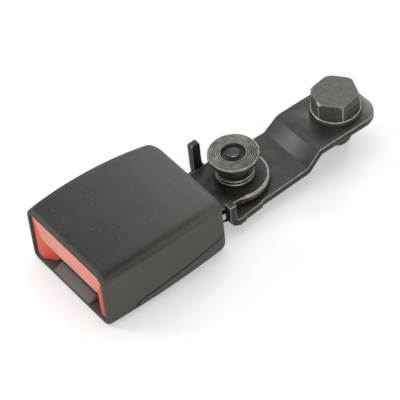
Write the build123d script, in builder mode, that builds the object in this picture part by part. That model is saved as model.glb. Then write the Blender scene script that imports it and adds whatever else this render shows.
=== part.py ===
from build123d import *
from math import cos, sin, tau
import os

# Seat belt buckle on a swivelling anchor bracket, in millimetres.
# The origin is on the anchor bolt's axis, at the underside of the bracket. +X runs
# from the mouth of the buckle towards the bolt, +Y is across and +Z is up.
# "Depth" values count from the mouth of the casing towards the bracket.

# Driving dimensions: sheet steel and main distances
plate = 3.0                 # bracket and buckle frame sheet
bend_inner = 1.5            # inner radius of the bracket's bends
pivot_pitch = 50.0          # anchor bolt axis to swivel rivet axis
mouth_reach = 78.5          # swivel rivet axis to the mouth of the casing
pin_gap = 0.05              # radial clearance of a pin that stays in its hole
running_gap = 0.08          # radial clearance of a pin that turns in its hole
seat_gap = 0.05             # clearance between pieces that rest on each other
slide_gap = 0.3             # clearance between pieces that slide past each other
work_margin = 2.0           # how far a cut or a blank runs past the face it meets

# Anchor bracket
anchor_half = 13.0          # half width at the anchor bolt
anchor_overhang = 12.5      # bolt axis to the end of the bracket
anchor_corner = 8.0         # corner radius of the bracket's end
joggle_drop = 5.4           # how far the bracket steps down to the rivet
joggle_top_x = -18.4        # upper bend of the step
joggle_foot_x = -25.2       # lower bend of the step
foot_half = 13.4            # half width at the foot of the step
shoulder_half = 16.0        # half width beside the rivet
shear_step = 0.6            # small step that the blanking tool leaves on the edges
shear_step_reach = 1.0      # step's place past the rivet axis
bracket_nose_radius = 13.6  # round front end below the rivet
ear_front_reach = 11.0      # rivet axis to the shoulders' front edge

# Swivel stops: two ears bent up from the bracket
near_ear_reach = 15.0       # rivet axis to the outer face of the near ear
near_ear_width = 3.7
near_ear_top = 6.2
far_ear_reach = 9.5         # rivet axis to the far ear's front edge
far_ear_width = 4.0
far_ear_top = 12.8
far_ear_bend = 3.0          # inner bend radius of the far ear
ear_tip_round = 0.9
near_ear_gap = 0.9          # tail's edge to the near ear
far_ear_step = 0.6          # how far the far ear stands out of the shoulder

# Swivel joint
rivet_r = 5.0
rivet_foot_r = 7.4
rivet_foot_depth = 2.6
spacer_thickness = 1.8
washer_r = 7.6
spacer_overlap = 2.0        # spacer's rim beyond the washers
flat_washer_step = 0.2      # flat washer's rim inside the wave washer's
flat_washer_thickness = 1.5
wave_washer_thickness = 1.4
rivet_neck_r = 5.6
rivet_neck_height = 2.4
rivet_cone_r = 9.2
rivet_cone_height = 4.2
rivet_head_r = 10.0
rivet_rim_height = 2.0
rivet_dish_r = 5.7
rivet_dish_depth = 1.1
rivet_pip_r = 2.6
rivet_pip_rise = 0.3
rivet_edge = 0.45

# Buckle frame: one sheet, with side walls bent up and a tail that reaches the rivet
tail_half = 11.6
tail_end_r = 13.2
tail_shoulder = 11.9        # half width where the round end begins
tail_edge = 0.7
tail_waist_length = 10.0
frame_nose_depth = 4.2      # mouth to the front edge of the frame's floor
frame_nose_half = 12.4
frame_nose_corner = 1.5
frame_wall_start = 15.5
frame_wall_end = 51.0
frame_wall_height = 14.6    # above the floor's upper face
frame_wall = 2.5
frame_wall_lead = 5.0       # cut-off front corner of the wall
frame_wall_slope = 9.0      # length of the slope at the wall's rear
frame_wall_step = 4.0       # wall's height at its rear edge
frame_inner_half = 12.5
frame_bend_outer = 2.4
frame_taper_end = 56.0      # depth where the floor has narrowed to the tail
window_start = 20.5
window_end = 27.0
window_half = 5.8
spring_slot_half = 2.6
spring_slot_end = 51.0

# Latch and lock bar
latch_pivot_rise = 5.0      # above the frame's floor
latch_pin_r = 2.0
latch_thickness = 2.5
latch_half = 7.5
latch_nose_half = 5.0
latch_nose_depth = 22.5
latch_nose_length = 3.5
latch_nose_step = 1.0       # height of the bevel along the nose
latch_nose_bevel = 0.8
latch_tip_length = 1.4      # bevel of the tip below the floor
latch_tip_front = 2.0       # tip's front, heel and point above the floor's underside
latch_tip_heel = 0.6
latch_tip_point = 0.2
latch_rise = 3.6            # underside of the latch above the frame's floor
latch_pad_height = 2.7
latch_pad_start = 26.0
latch_pad_slope = 1.0
latch_pad_lead = 1.0        # pad ends this far ahead of the lock bar's axis
latch_knuckle_r = 3.8
latch_knuckle_width = 3.0
latch_pin_stand = 0.4       # pin's end beyond the frame's wall
knuckle_room = 3.6          # ejector at full travel to the latch's pivot
lock_bar_depth = 30.0
lock_bar_r = 2.0
lock_bar_inset = 0.1        # bar's end inside the button's arm
pin_edge = 0.3
button_travel = 5.5

# Ejector
ejector_start = 21.0
ejector_length = 10.4
ejector_corner = 1.0
ejector_height = 3.0
ejector_float = 0.1         # clearance above the frame's floor
ejector_half = 12.1
ejector_fork_half = 5.8
ejector_fork_depth = 7.0
ejector_boss_length = 3.6
ejector_boss_half = 2.2
ejector_boss_drop = 2.0
ejector_travel = 10.0

# Springs
spring_wire_r = 0.45
ejector_spring_r = 1.75     # to the wire's centre
ejector_spring_turns = 6
ejector_spring_rise = -0.5  # axis above the floor's upper face
button_spring_r = 1.6
button_spring_turns = 6
button_spring_z = 9.0
torsion_wire_r = 0.45
torsion_spring_r = 2.6
torsion_pitch = 1.25
torsion_turns = 4
torsion_leg = 8.5           # reach of the leg over the latch
coil_steps = 10             # straight runs in one turn of wire
coil_sides = 6

# Casing
casing_length = 58.0
casing_bottom = -5.0
casing_wall = 1.8
mouth_half = 24.2
belly_bulge = 0.6           # sides' swell behind the mouth
belly_depth = 18.0
rear_narrowing = 1.6        # how much narrower the rear is on each side
rear_bulge = 1.0
rear_corner = 9.0
mouth_top = 21.8
crown_top = 23.0
crown_depth = 24.0
rear_top = 19.0
shoulder_round = 4.5
roof_chamfer = 1.2          # inside the shoulder
keel_bevel = 1.7            # along the casing's lower edge
parting_gap = 0.15
cover_front_depth = 13.0    # mouth to the lower cover's front edge
cover_front_top = 0.2       # parting line at the cover's front
cover_rear_top = 3.4        # parting line at the rear
cover_corner = 2.2
tail_slot_gap = 0.6
cover_rib_half = 8.5
cover_rib_width = 1.6
cover_rib_start = 16.0
cover_rib_end = 48.0
cover_rib_root = 0.2        # how far ribs and bosses run into the floor
spring_boss_inset = 8.4     # boss's face to the rear of the casing
spring_boss_length = 2.0
spring_boss_width = 3.2
spring_boss_top = 12.0
spring_peg_r = 0.9
spring_peg_length = 3.0
roof_rib_start = 36.0
roof_rib_end = 47.0
roof_rib_width = 2.0

# Release button
button_recess = 1.0
button_length = 7.0         # front face to the back of the funnel
button_foot = -1.6          # underside of the legs
button_slot_top = 8.2
funnel_front_half = 19.7
funnel_mid_half = 18.4
funnel_back_half = 13.2
funnel_mid_share = 0.55
button_front_wall = 2.2     # front band to the bridge behind it
button_arm_width = 3.0
button_arm_gap = 0.9        # frame's wall to the arm
button_arm_root = 3.0       # how far the arm starts inside the funnel
button_arm_bottom = 6.0
button_arm_top = 18.4
button_arm_tail = 6.0       # arm's length behind the lock bar's axis
button_roof = 2.2           # thickness of the bridge behind the front band

# Tongue guide
guide_half = 11.0
guide_front = 0.5
guide_ramp_length = 2.5
guide_foot = -3.25
guide_nose_height = 0.35
guide_length = 12.0
guide_top_step = 0.2        # ramp's end below the floor's upper face

# Anchor bolt (7/16 inch thread)
thread_r = 5.556
thread_length = 11.7
pilot_r = 4.5
pilot_length = 1.5
bolt_shoulder_r = 6.0
bush_outer_r = 8.0
bolt_washer_r = 9.6
bolt_washer_thickness = 2.1
hex_across_flats = 17.0
hex_height = 7.5
hex_chamfer_height = 1.2
hex_turn = -22.0            # degrees
bolt_washer_edge = 0.5

# Places that follow from the driving dimensions
rivet_x = -pivot_pitch
mouth_x = rivet_x - mouth_reach
rear_x = mouth_x + casing_length
foot_top = plate - joggle_drop
tail_bottom = foot_top + spacer_thickness
floor_top = tail_bottom + plate
near_ear_inner = tail_half + near_ear_gap
far_ear_inner = shoulder_half - plate + far_ear_step
latch_bottom = floor_top + latch_rise
latch_top = latch_bottom + latch_thickness
pad_top = latch_top + latch_pad_height
lock_bar_z = pad_top + slide_gap + lock_bar_r
ejector_end = ejector_start + ejector_length
latch_pivot_depth = ejector_end + ejector_travel + knuckle_room
latch_pivot_x = mouth_x + latch_pivot_depth
latch_pivot_z = floor_top + latch_pivot_rise
frame_wall_top = floor_top + frame_wall_height
spring_axis_z = floor_top + ejector_spring_rise
wall_outer = frame_inner_half + frame_wall
button_spring_half = wall_outer + button_arm_gap + button_arm_width / 2
lock_bar_half = button_spring_half + button_arm_width / 2 - lock_bar_inset
belly_half = mouth_half + belly_bulge
rear_half = mouth_half - rear_narrowing
spring_boss_depth = casing_length - spring_boss_inset
cut_reach = 60.0            # reach of a cut that runs clear of the part


def at_depth(depth):
    """X of a point that lies the given distance behind the mouth."""
    return mouth_x + depth


def save(part, label):
    """Name a finished piece and write it."""
    part.label = label
    export_step(part, f"parts/{label}.step")


def block(x_from, x_to, half, z_from, z_to, y_mid=0.0, mode=Mode.ADD):
    """A straight block between two X places and two heights, centred on y_mid."""
    with Locations(((x_from + x_to) / 2, y_mid, (z_from + z_to) / 2)):
        Box(x_to - x_from, 2 * half, z_to - z_from, mode=mode)


def bent_strip(path_points, bend_radius, section_plane, width):
    """Sheet of one thickness swept along a path with round bends."""
    with BuildPart() as strip:
        with BuildLine():
            FilletPolyline(*path_points, radius=bend_radius)
        with BuildSketch(section_plane):
            Rectangle(width, plate)
        sweep()
    return strip.part


def bracket_outline():
    """Plan of the bracket's sheet, with tapered sides and a round end at the rivet."""
    step_x = rivet_x + shear_step_reach
    front_x = rivet_x - ear_front_reach
    step_half = (foot_half + shoulder_half) / 2
    with BuildSketch() as outline:
        with BuildLine():
            Polyline(
                (anchor_overhang, 0),
                (anchor_overhang, anchor_half),
                (joggle_top_x, anchor_half),
                (joggle_foot_x, foot_half),
                (step_x, step_half - shear_step / 2),
                (step_x, step_half + shear_step / 2),
                (front_x, shoulder_half),
                (front_x, 0),
            )
            mirror(about=Plane.XZ)
        make_face()
        end_corners = outline.vertices().group_by(Axis.X)[-1]
        fillet(end_corners, radius=anchor_corner)
        with Locations((rivet_x, 0)):
            Circle(bracket_nose_radius)
    return outline.sketch


def make_anchor_bracket():
    """Joggled sheet bracket with two ears that stop the swivel."""
    half_plate = plate / 2
    foot_mid = foot_top - half_plate
    bend = bend_inner + half_plate
    far_end = rivet_x - bracket_nose_radius - plate
    sheet = bent_strip(
        [(anchor_overhang, 0, half_plate), (joggle_top_x, 0, half_plate),
         (joggle_foot_x, 0, foot_mid), (far_end, 0, foot_mid)],
        bend,
        Plane(origin=(anchor_overhang, 0, half_plate), x_dir=(0, 1, 0), z_dir=(-1, 0, 0)),
        2 * cut_reach,
    )
    ear_x = rivet_x - near_ear_reach + half_plate
    ear_y = -near_ear_inner - near_ear_width / 2
    ear_root = rivet_x - ear_front_reach + plate
    near_ear = bent_strip(
        [(ear_root, ear_y, foot_mid), (ear_x, ear_y, foot_mid), (ear_x, ear_y, near_ear_top)],
        bend,
        Plane(origin=(ear_root, ear_y, foot_mid), x_dir=(0, 1, 0), z_dir=(-1, 0, 0)),
        near_ear_width,
    )
    far_mid_x = rivet_x - far_ear_reach + far_ear_width / 2
    far_mid_y = far_ear_inner + half_plate
    far_ear = bent_strip(
        [(far_mid_x, 0, foot_mid), (far_mid_x, far_mid_y, foot_mid),
         (far_mid_x, far_mid_y, far_ear_top)],
        far_ear_bend + half_plate,
        Plane(origin=(far_mid_x, 0, foot_mid), x_dir=(1, 0, 0), z_dir=(0, 1, 0)),
        far_ear_width,
    )
    with BuildPart() as bracket:
        add(sheet)
        with BuildSketch(Plane.XY.offset(foot_top - plate)):
            add(bracket_outline())
        extrude(amount=cut_reach, mode=Mode.INTERSECT)
        add(near_ear)
        add(far_ear)
        tips = bracket.edges().filter_by(Axis.Z, reverse=True).group_by(Axis.Z)
        far_tip = [edge for edge in tips[-1] if edge.length > ear_tip_round]
        fillet(far_tip, radius=ear_tip_round)
        with Locations((rivet_x, 0, foot_top)):
            Hole(rivet_r + pin_gap, depth=2 * plate)
        with Locations((0, 0, plate)):
            Hole(bush_outer_r + pin_gap, depth=2 * plate)
    return bracket.part


def make_swivel_rivet():
    """Turned stud: upset foot, shank, neck, cone and a dished disc head."""
    foot_bottom = foot_top - plate - rivet_foot_depth
    neck_bottom = floor_top + flat_washer_thickness + wave_washer_thickness + seat_gap
    cone_bottom = neck_bottom + rivet_neck_height
    rim_bottom = cone_bottom + rivet_cone_height
    head_top = rim_bottom + rivet_rim_height
    dish = head_top - rivet_dish_depth
    with BuildPart() as rivet:
        with BuildSketch(Plane.XZ):
            with BuildLine():
                Polyline(
                    (0, foot_bottom),
                    (rivet_foot_r - rivet_foot_depth / 2, foot_bottom),
                    (rivet_foot_r, foot_bottom + rivet_foot_depth / 2),
                    (rivet_foot_r, foot_top - plate),
                    (rivet_r, foot_top - plate),
                    (rivet_r, neck_bottom),
                    (rivet_neck_r, neck_bottom),
                    (rivet_neck_r, cone_bottom),
                    (rivet_cone_r, rim_bottom),
                    (rivet_head_r, rim_bottom + rivet_edge),
                    (rivet_head_r, head_top - rivet_edge),
                    (rivet_head_r - rivet_edge, head_top),
                    (rivet_dish_r + rivet_dish_depth, head_top),
                    (rivet_dish_r, dish),
                    (rivet_pip_r, dish),
                    (rivet_pip_r, head_top + rivet_pip_rise),
                    (0, head_top + rivet_pip_rise),
                    close=True,
                )
            make_face()
        revolve(axis=Axis.Z)
    return rivet.part.moved(Location((rivet_x, 0, 0)))


def make_washer(centre_x, outer, inner, bottom, thickness):
    """Flat round washer."""
    with BuildPart() as washer:
        with BuildSketch(Plane.XY.offset(bottom)):
            with Locations((centre_x, 0)):
                Circle(outer)
                Circle(inner, mode=Mode.SUBTRACT)
        extrude(amount=thickness)
    return washer.part


def make_bolt_washer():
    """Washer held on the anchor bolt, with a broken upper edge."""
    washer = make_washer(0, bolt_washer_r, bolt_shoulder_r + pin_gap, plate + seat_gap,
                         bolt_washer_thickness - seat_gap / 2)
    rims = washer.edges().filter_by(GeomType.CIRCLE).group_by(Axis.Z)[-1]
    return chamfer(rims.sort_by(SortBy.RADIUS)[-1], length=bolt_washer_edge)


def make_anchor_bolt():
    """Hexagon head bolt with a plain shoulder, a thread and a pilot tip."""
    head_bottom = plate + bolt_washer_thickness + seat_gap
    head_top = head_bottom + hex_height
    corner_r = hex_across_flats / 3**0.5
    chamfer_run = corner_r - hex_across_flats / 2 + hex_chamfer_height / 2
    with BuildPart() as bolt:
        with BuildSketch(Plane.XY.offset(head_bottom)):
            RegularPolygon(hex_across_flats / 2, 6, major_radius=False, rotation=hex_turn)
        extrude(amount=hex_height)
        with BuildSketch(Plane.XZ):
            with BuildLine():
                Polyline(
                    (0, head_bottom),
                    (corner_r, head_bottom),
                    (corner_r, head_top - hex_chamfer_height),
                    (corner_r - chamfer_run, head_top),
                    (0, head_top),
                    close=True,
                )
            make_face()
        revolve(axis=Axis.Z, mode=Mode.INTERSECT)
        with BuildSketch(Plane.XZ):
            with BuildLine():
                Polyline(
                    (0, head_bottom),
                    (bolt_shoulder_r, head_bottom),
                    (bolt_shoulder_r, 0),
                    (thread_r, 0),
                    (thread_r, -thread_length),
                    (pilot_r, -thread_length - thread_r + pilot_r),
                    (pilot_r, -thread_length - pilot_length),
                    (0, -thread_length - pilot_length),
                    close=True,
                )
            make_face()
        revolve(axis=Axis.Z)
    return bolt.part


def make_buckle_frame():
    """U-shaped latch frame of sheet steel whose floor runs on as the tail."""
    nose_x = at_depth(frame_nose_depth)
    wall_x = at_depth(frame_wall_start)
    wall_end_x = at_depth(frame_wall_end)
    waist_x = rivet_x - tail_end_r / 2
    with BuildPart() as frame:
        with BuildSketch(Plane.XY.offset(tail_bottom)):
            with BuildLine():
                Polyline(
                    (nose_x, 0),
                    (nose_x, frame_nose_half - frame_nose_corner),
                    (nose_x + frame_nose_corner, frame_nose_half),
                    (wall_x, frame_nose_half),
                    (wall_x, wall_outer),
                    (wall_end_x, wall_outer),
                    (at_depth(frame_taper_end), tail_half),
                    (waist_x - tail_waist_length / 2, tail_half),
                    (waist_x, (tail_half + tail_shoulder) / 2),
                    (rivet_x, tail_shoulder),
                    (rivet_x, 0),
                )
                mirror(about=Plane.XZ)
            make_face()
            with Locations((rivet_x, 0)):
                Circle(tail_end_r)
            with Locations(((at_depth(window_start) + at_depth(window_end)) / 2, 0)):
                Rectangle(window_end - window_start, 2 * window_half, mode=Mode.SUBTRACT)
            with Locations(((at_depth(window_start) + at_depth(spring_slot_end)) / 2, 0)):
                Rectangle(spring_slot_end - window_start, 2 * spring_slot_half, mode=Mode.SUBTRACT)
        extrude(amount=plate)
        round_end = frame.edges().filter_by(GeomType.CIRCLE)
        chamfer(round_end, length=tail_edge)
        for side in (-1, 1):
            wall_face = side * (wall_outer - frame_wall / 2) + frame_wall / 2
            with BuildSketch(Plane.XZ.offset(-wall_face)):
                with BuildLine():
                    Polyline(
                        (wall_x, floor_top - plate / 2),
                        (wall_x, frame_wall_top - frame_wall_lead),
                        (wall_x + frame_wall_lead, frame_wall_top),
                        (wall_end_x - frame_wall_slope, frame_wall_top),
                        (wall_end_x, floor_top + frame_wall_step),
                        (wall_end_x, floor_top - plate / 2),
                        close=True,
                    )
                make_face()
            extrude(amount=frame_wall)
        slot_mid = at_depth(lock_bar_depth) + button_travel / 2
        with BuildSketch(Plane.XZ):
            with Locations((slot_mid, lock_bar_z)):
                SlotCenterToCenter(button_travel, 2 * (lock_bar_r + slide_gap / 2))
            with Locations((latch_pivot_x, latch_pivot_z)):
                Circle(latch_pin_r + pin_gap)
        extrude(amount=cut_reach, both=True, mode=Mode.SUBTRACT)
        with Locations((rivet_x, 0, floor_top)):
            Hole(rivet_r + running_gap, depth=2 * plate)
        long_edges = frame.edges().filter_by(Axis.X).group_by(Axis.Z)[0]
        outer_edges = [edge for edge in long_edges if abs(edge.center().Y) > frame_inner_half]
        fillet(outer_edges, radius=frame_bend_outer)
    return frame.part


def make_latch():
    """Pawl: a plate with a nose, a pad for the lock bar and two knuckles."""
    nose_x = at_depth(latch_nose_depth)
    pad_end = at_depth(lock_bar_depth) - latch_pad_lead
    with BuildPart() as latch:
        with BuildSketch(Plane.XZ):
            with BuildLine():
                Polyline(
                    (nose_x, latch_bottom + latch_nose_step),
                    (nose_x + latch_nose_bevel, latch_top),
                    (at_depth(latch_pad_start), latch_top),
                    (at_depth(latch_pad_start) + latch_pad_slope, pad_top),
                    (pad_end, pad_top),
                    (pad_end + latch_pad_slope, latch_top),
                    (latch_pivot_x, latch_top),
                    (latch_pivot_x, latch_bottom),
                    (nose_x, latch_bottom),
                    close=True,
                )
            make_face()
        extrude(amount=latch_half, both=True)
        with BuildSketch(Plane.XZ):
            with BuildLine():
                Polyline(
                    (nose_x, latch_bottom + latch_nose_step),
                    (nose_x + latch_nose_length, latch_bottom + latch_nose_step),
                    (nose_x + latch_nose_length, tail_bottom + latch_tip_heel),
                    (nose_x + latch_tip_length, tail_bottom + latch_tip_point),
                    (nose_x, tail_bottom + latch_tip_front),
                    close=True,
                )
            make_face()
        extrude(amount=latch_nose_half, both=True)
        with BuildSketch(Plane.XZ):
            with Locations((latch_pivot_x, latch_pivot_z)):
                Circle(latch_knuckle_r)
        extrude(amount=latch_half, both=True)
        knuckle_gap = latch_half - latch_knuckle_width
        knuckle_reach = latch_knuckle_r + work_margin
        block(latch_pivot_x - knuckle_reach, latch_pivot_x + knuckle_reach, knuckle_gap,
              latch_pivot_z - knuckle_reach, latch_pivot_z + knuckle_reach, mode=Mode.SUBTRACT)
        with BuildSketch(Plane.XZ):
            with Locations((latch_pivot_x, latch_pivot_z)):
                Circle(latch_pin_r + running_gap)
        extrude(amount=cut_reach, both=True, mode=Mode.SUBTRACT)
    return latch.part


def make_cross_pin(x, z, radius, half_length):
    """Straight pin across the buckle with broken ends."""
    with BuildPart() as pin:
        with BuildSketch(Plane.XZ):
            with Locations((x, z)):
                Circle(radius)
        extrude(amount=half_length, both=True)
        chamfer(pin.edges().filter_by(GeomType.CIRCLE), length=pin_edge)
    return pin.part


def make_ejector():
    """Forked slider that pushes the tongue out, with a boss for its spring."""
    start = at_depth(ejector_start)
    end = at_depth(ejector_end)
    bottom = floor_top + ejector_float
    top = floor_top + ejector_height
    with BuildPart() as ejector:
        block(start, end, ejector_half, bottom, top)
        block(start - work_margin, start + ejector_fork_depth, ejector_fork_half,
              bottom - work_margin, top + work_margin, mode=Mode.SUBTRACT)
        fronts = ejector.edges().filter_by(Axis.Z).group_by(Axis.X)[0]
        fillet(fronts, radius=ejector_corner)
        block(end - ejector_boss_length, end, ejector_boss_half, floor_top - ejector_boss_drop, bottom)
    return ejector.part


def make_coil(base, length, coil_r, wire_r, turns, leg_end=None):
    """Coil of straight runs of wire along the normal of its base plane, with a leg if asked."""
    run = length - 2 * wire_r
    count = turns * coil_steps
    route = []
    for step in range(count + 1):
        angle = tau * step / coil_steps
        route.append(Vector(coil_r * cos(angle), coil_r * sin(angle), wire_r + run * step / count))
    if leg_end:
        route.append(Vector(*leg_end, length - wire_r))
    with BuildPart() as coil:
        with BuildLine():
            Polyline(*route)
        with BuildSketch(Plane(origin=route[0], z_dir=route[1] - route[0])):
            RegularPolygon(wire_r, coil_sides)
        sweep(transition=Transition.RIGHT)
    return coil.part.moved(base.location)


def soften(edges, size, inside):
    """Round edges on an outer form, or bevel them inside a cavity."""
    if inside:
        chamfer(edges, length=size)
    else:
        fillet(edges, radius=size)


def casing_block(inset=0.0):
    """Outer form of the casing, or with an inset a form inside it that runs out of the mouth."""
    plan_back = rear_x - rear_bulge - inset
    floor_z = casing_bottom + inset
    with BuildPart() as form:
        with BuildSketch(Plane.XY.offset(floor_z)) as plan:
            with BuildLine():
                near = ThreePointArc(
                    (mouth_x, inset - mouth_half),
                    (at_depth(belly_depth), inset - belly_half),
                    (plan_back, inset - rear_half),
                )
                ThreePointArc(near @ 1, (rear_x - inset, 0), (plan_back, rear_half - inset))
                far = ThreePointArc(
                    (plan_back, rear_half - inset),
                    (at_depth(belly_depth), belly_half - inset),
                    (mouth_x, mouth_half - inset),
                )
                Line(far @ 1, near @ 0)
            make_face()
            rear_corners = plan.vertices().filter_by_position(
                Axis.X, plan_back - seat_gap, plan_back + seat_gap)
            fillet(rear_corners, radius=rear_corner - inset)
        extrude(amount=crown_top - casing_bottom)
        with BuildSketch(Plane.XZ):
            with BuildLine():
                crown = ThreePointArc(
                    (mouth_x, mouth_top - inset),
                    (at_depth(crown_depth), crown_top - inset),
                    (rear_x, rear_top - inset),
                )
                Polyline(crown @ 1, (rear_x, floor_z), (mouth_x, floor_z), crown @ 0)
            make_face()
        extrude(amount=cut_reach, both=True, mode=Mode.INTERSECT)
        top_face = form.faces().sort_by(Axis.Z)[-1]
        rim = [edge for edge in top_face.edges() if edge.center().X > mouth_x + seat_gap]
        soften(rim, roof_chamfer if inset else shoulder_round, inset)
        if inset:
            extrude(form.faces().sort_by(Axis.X)[0], amount=work_margin)
        else:
            bottom_face = form.faces().sort_by(Axis.Z)[0]
            keel = [edge for edge in bottom_face.edges() if edge.center().X > mouth_x + seat_gap]
            chamfer(keel, length=keel_bevel)
    return form.part


def cover_region(gap):
    """Space below the parting line, where the lower cover fills the casing."""
    with BuildPart() as region:
        with BuildSketch(Plane.XZ):
            with BuildLine():
                Polyline(
                    (at_depth(cover_front_depth) + gap, casing_bottom - work_margin),
                    (at_depth(cover_front_depth) + gap, cover_front_top - gap),
                    (rear_x + work_margin, cover_rear_top - gap),
                    (rear_x + work_margin, casing_bottom - work_margin),
                    close=True,
                )
            face = make_face()
            corner = face.vertices().sort_by(Axis.X)[:2].sort_by(Axis.Z)[-1]
            fillet(corner, radius=cover_corner)
        extrude(amount=cut_reach, both=True)
    return region.part


def make_casing_shell():
    """Whole hollow casing, open at the mouth and slotted for the tail."""
    slot_front = rear_x - rear_bulge - 2 * casing_wall
    with BuildPart() as shell:
        add(casing_block())
        add(casing_block(casing_wall), mode=Mode.SUBTRACT)
        block(slot_front, rear_x + work_margin, tail_half + tail_slot_gap,
              tail_bottom - tail_slot_gap, floor_top + tail_slot_gap, mode=Mode.SUBTRACT)
    return shell.part


def make_upper_casing(shell):
    """Top, sides and front ring of the casing."""
    rib_z = frame_wall_top + seat_gap
    with BuildPart() as casing:
        add(shell)
        add(cover_region(0), mode=Mode.SUBTRACT)
        for side in (-1, 1):
            block(at_depth(roof_rib_start), at_depth(roof_rib_end), roof_rib_width / 2, rib_z,
                  rear_top + casing_wall / 2, y_mid=side * (frame_inner_half + frame_wall / 2))
    return casing.part


def make_lower_cover(shell):
    """Bottom shell with frame ribs and seats for the button springs."""
    floor_z = casing_bottom + casing_wall - cover_rib_root
    with BuildPart() as cover:
        add(shell)
        add(cover_region(parting_gap), mode=Mode.INTERSECT)
        for side in (-1, 1):
            block(at_depth(cover_rib_start), at_depth(cover_rib_end), cover_rib_width / 2, floor_z,
                  tail_bottom - seat_gap, y_mid=side * cover_rib_half)
            block(at_depth(spring_boss_depth), at_depth(spring_boss_depth + spring_boss_length),
                  spring_boss_width / 2, floor_z, spring_boss_top, y_mid=side * button_spring_half)
            peg_plane = Plane(origin=(at_depth(spring_boss_depth), side * button_spring_half,
                                      button_spring_z), z_dir=(-1, 0, 0))
            with BuildSketch(peg_plane):
                Circle(spring_peg_r)
            extrude(amount=spring_peg_length)
    return cover.part


def make_release_button():
    """Push button: front band, funnel legs and two arms that carry the lock bar."""
    front = mouth_x + button_recess
    back = front + button_length
    inset = casing_wall + slide_gap
    bar_x = at_depth(lock_bar_depth)
    with BuildPart() as button:
        add(casing_block(inset))
        block(front, back, 2 * belly_half, button_foot, crown_top, mode=Mode.INTERSECT)
        with BuildSketch(Plane.XY.offset(casing_bottom)):
            with BuildLine():
                mid_x = front + button_length * funnel_mid_share
                upper = ThreePointArc((front - work_margin, funnel_front_half), (mid_x, funnel_mid_half),
                                      (back + work_margin, funnel_back_half))
                Line(upper @ 1, (back + work_margin, -funnel_back_half))
                lower = ThreePointArc((back + work_margin, -funnel_back_half), (mid_x, -funnel_mid_half),
                                      (front - work_margin, -funnel_front_half))
                Line(lower @ 1, upper @ 0)
            make_face()
        extrude(amount=button_slot_top - casing_bottom, mode=Mode.SUBTRACT)
        block(front + button_front_wall, back + work_margin, 2 * belly_half, button_slot_top + button_roof,
              crown_top, mode=Mode.SUBTRACT)
        for side in (-1, 1):
            block(back - button_arm_root, bar_x + button_arm_tail, button_arm_width / 2, button_arm_bottom,
                  button_slot_top + button_roof, y_mid=side * button_spring_half)
            block(bar_x - button_arm_tail, bar_x + button_arm_tail, button_arm_width / 2,
                  button_arm_bottom, button_arm_top, y_mid=side * button_spring_half)
        with BuildSketch(Plane.XZ):
            with Locations((bar_x, lock_bar_z)):
                Circle(lock_bar_r + slide_gap / 2)
        extrude(amount=cut_reach, both=True, mode=Mode.SUBTRACT)
        for side in (-1, 1):
            peg_plane = Plane(origin=(bar_x + button_arm_tail, side * button_spring_half,
                                      button_spring_z), z_dir=(1, 0, 0))
            with BuildSketch(peg_plane):
                Circle(spring_peg_r)
            extrude(amount=spring_peg_length / 2)
    return button.part


def make_tongue_guide():
    """Ramp block on the lip that leads the tongue on to the frame's floor."""
    front = mouth_x + guide_front
    nose_x = at_depth(frame_nose_depth)
    under = tail_bottom - seat_gap
    with BuildPart() as guide:
        with BuildSketch(Plane.XZ):
            with BuildLine():
                Polyline(
                    (front, guide_foot + seat_gap),
                    (at_depth(guide_length), guide_foot + seat_gap),
                    (at_depth(guide_length), under),
                    (nose_x - seat_gap, under),
                    (nose_x - seat_gap, floor_top),
                    (front + guide_ramp_length, floor_top - guide_top_step),
                    (front, guide_foot + guide_nose_height),
                    close=True,
                )
            make_face()
        extrude(amount=guide_half, both=True)
    return guide.part


def make_torsion_spring():
    """Coil round the latch pivot with a leg that lies on the latch."""
    coil_half = torsion_pitch * torsion_turns / 2 + torsion_wire_r
    leg_rise = latch_top + seat_gap + torsion_wire_r - latch_pivot_z
    base = Plane(origin=(latch_pivot_x, coil_half, latch_pivot_z), x_dir=(0, 0, 1), z_dir=(0, -1, 0))
    return make_coil(base, 2 * coil_half, torsion_spring_r, torsion_wire_r, torsion_turns,
                     leg_end=(leg_rise, torsion_leg))


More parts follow.
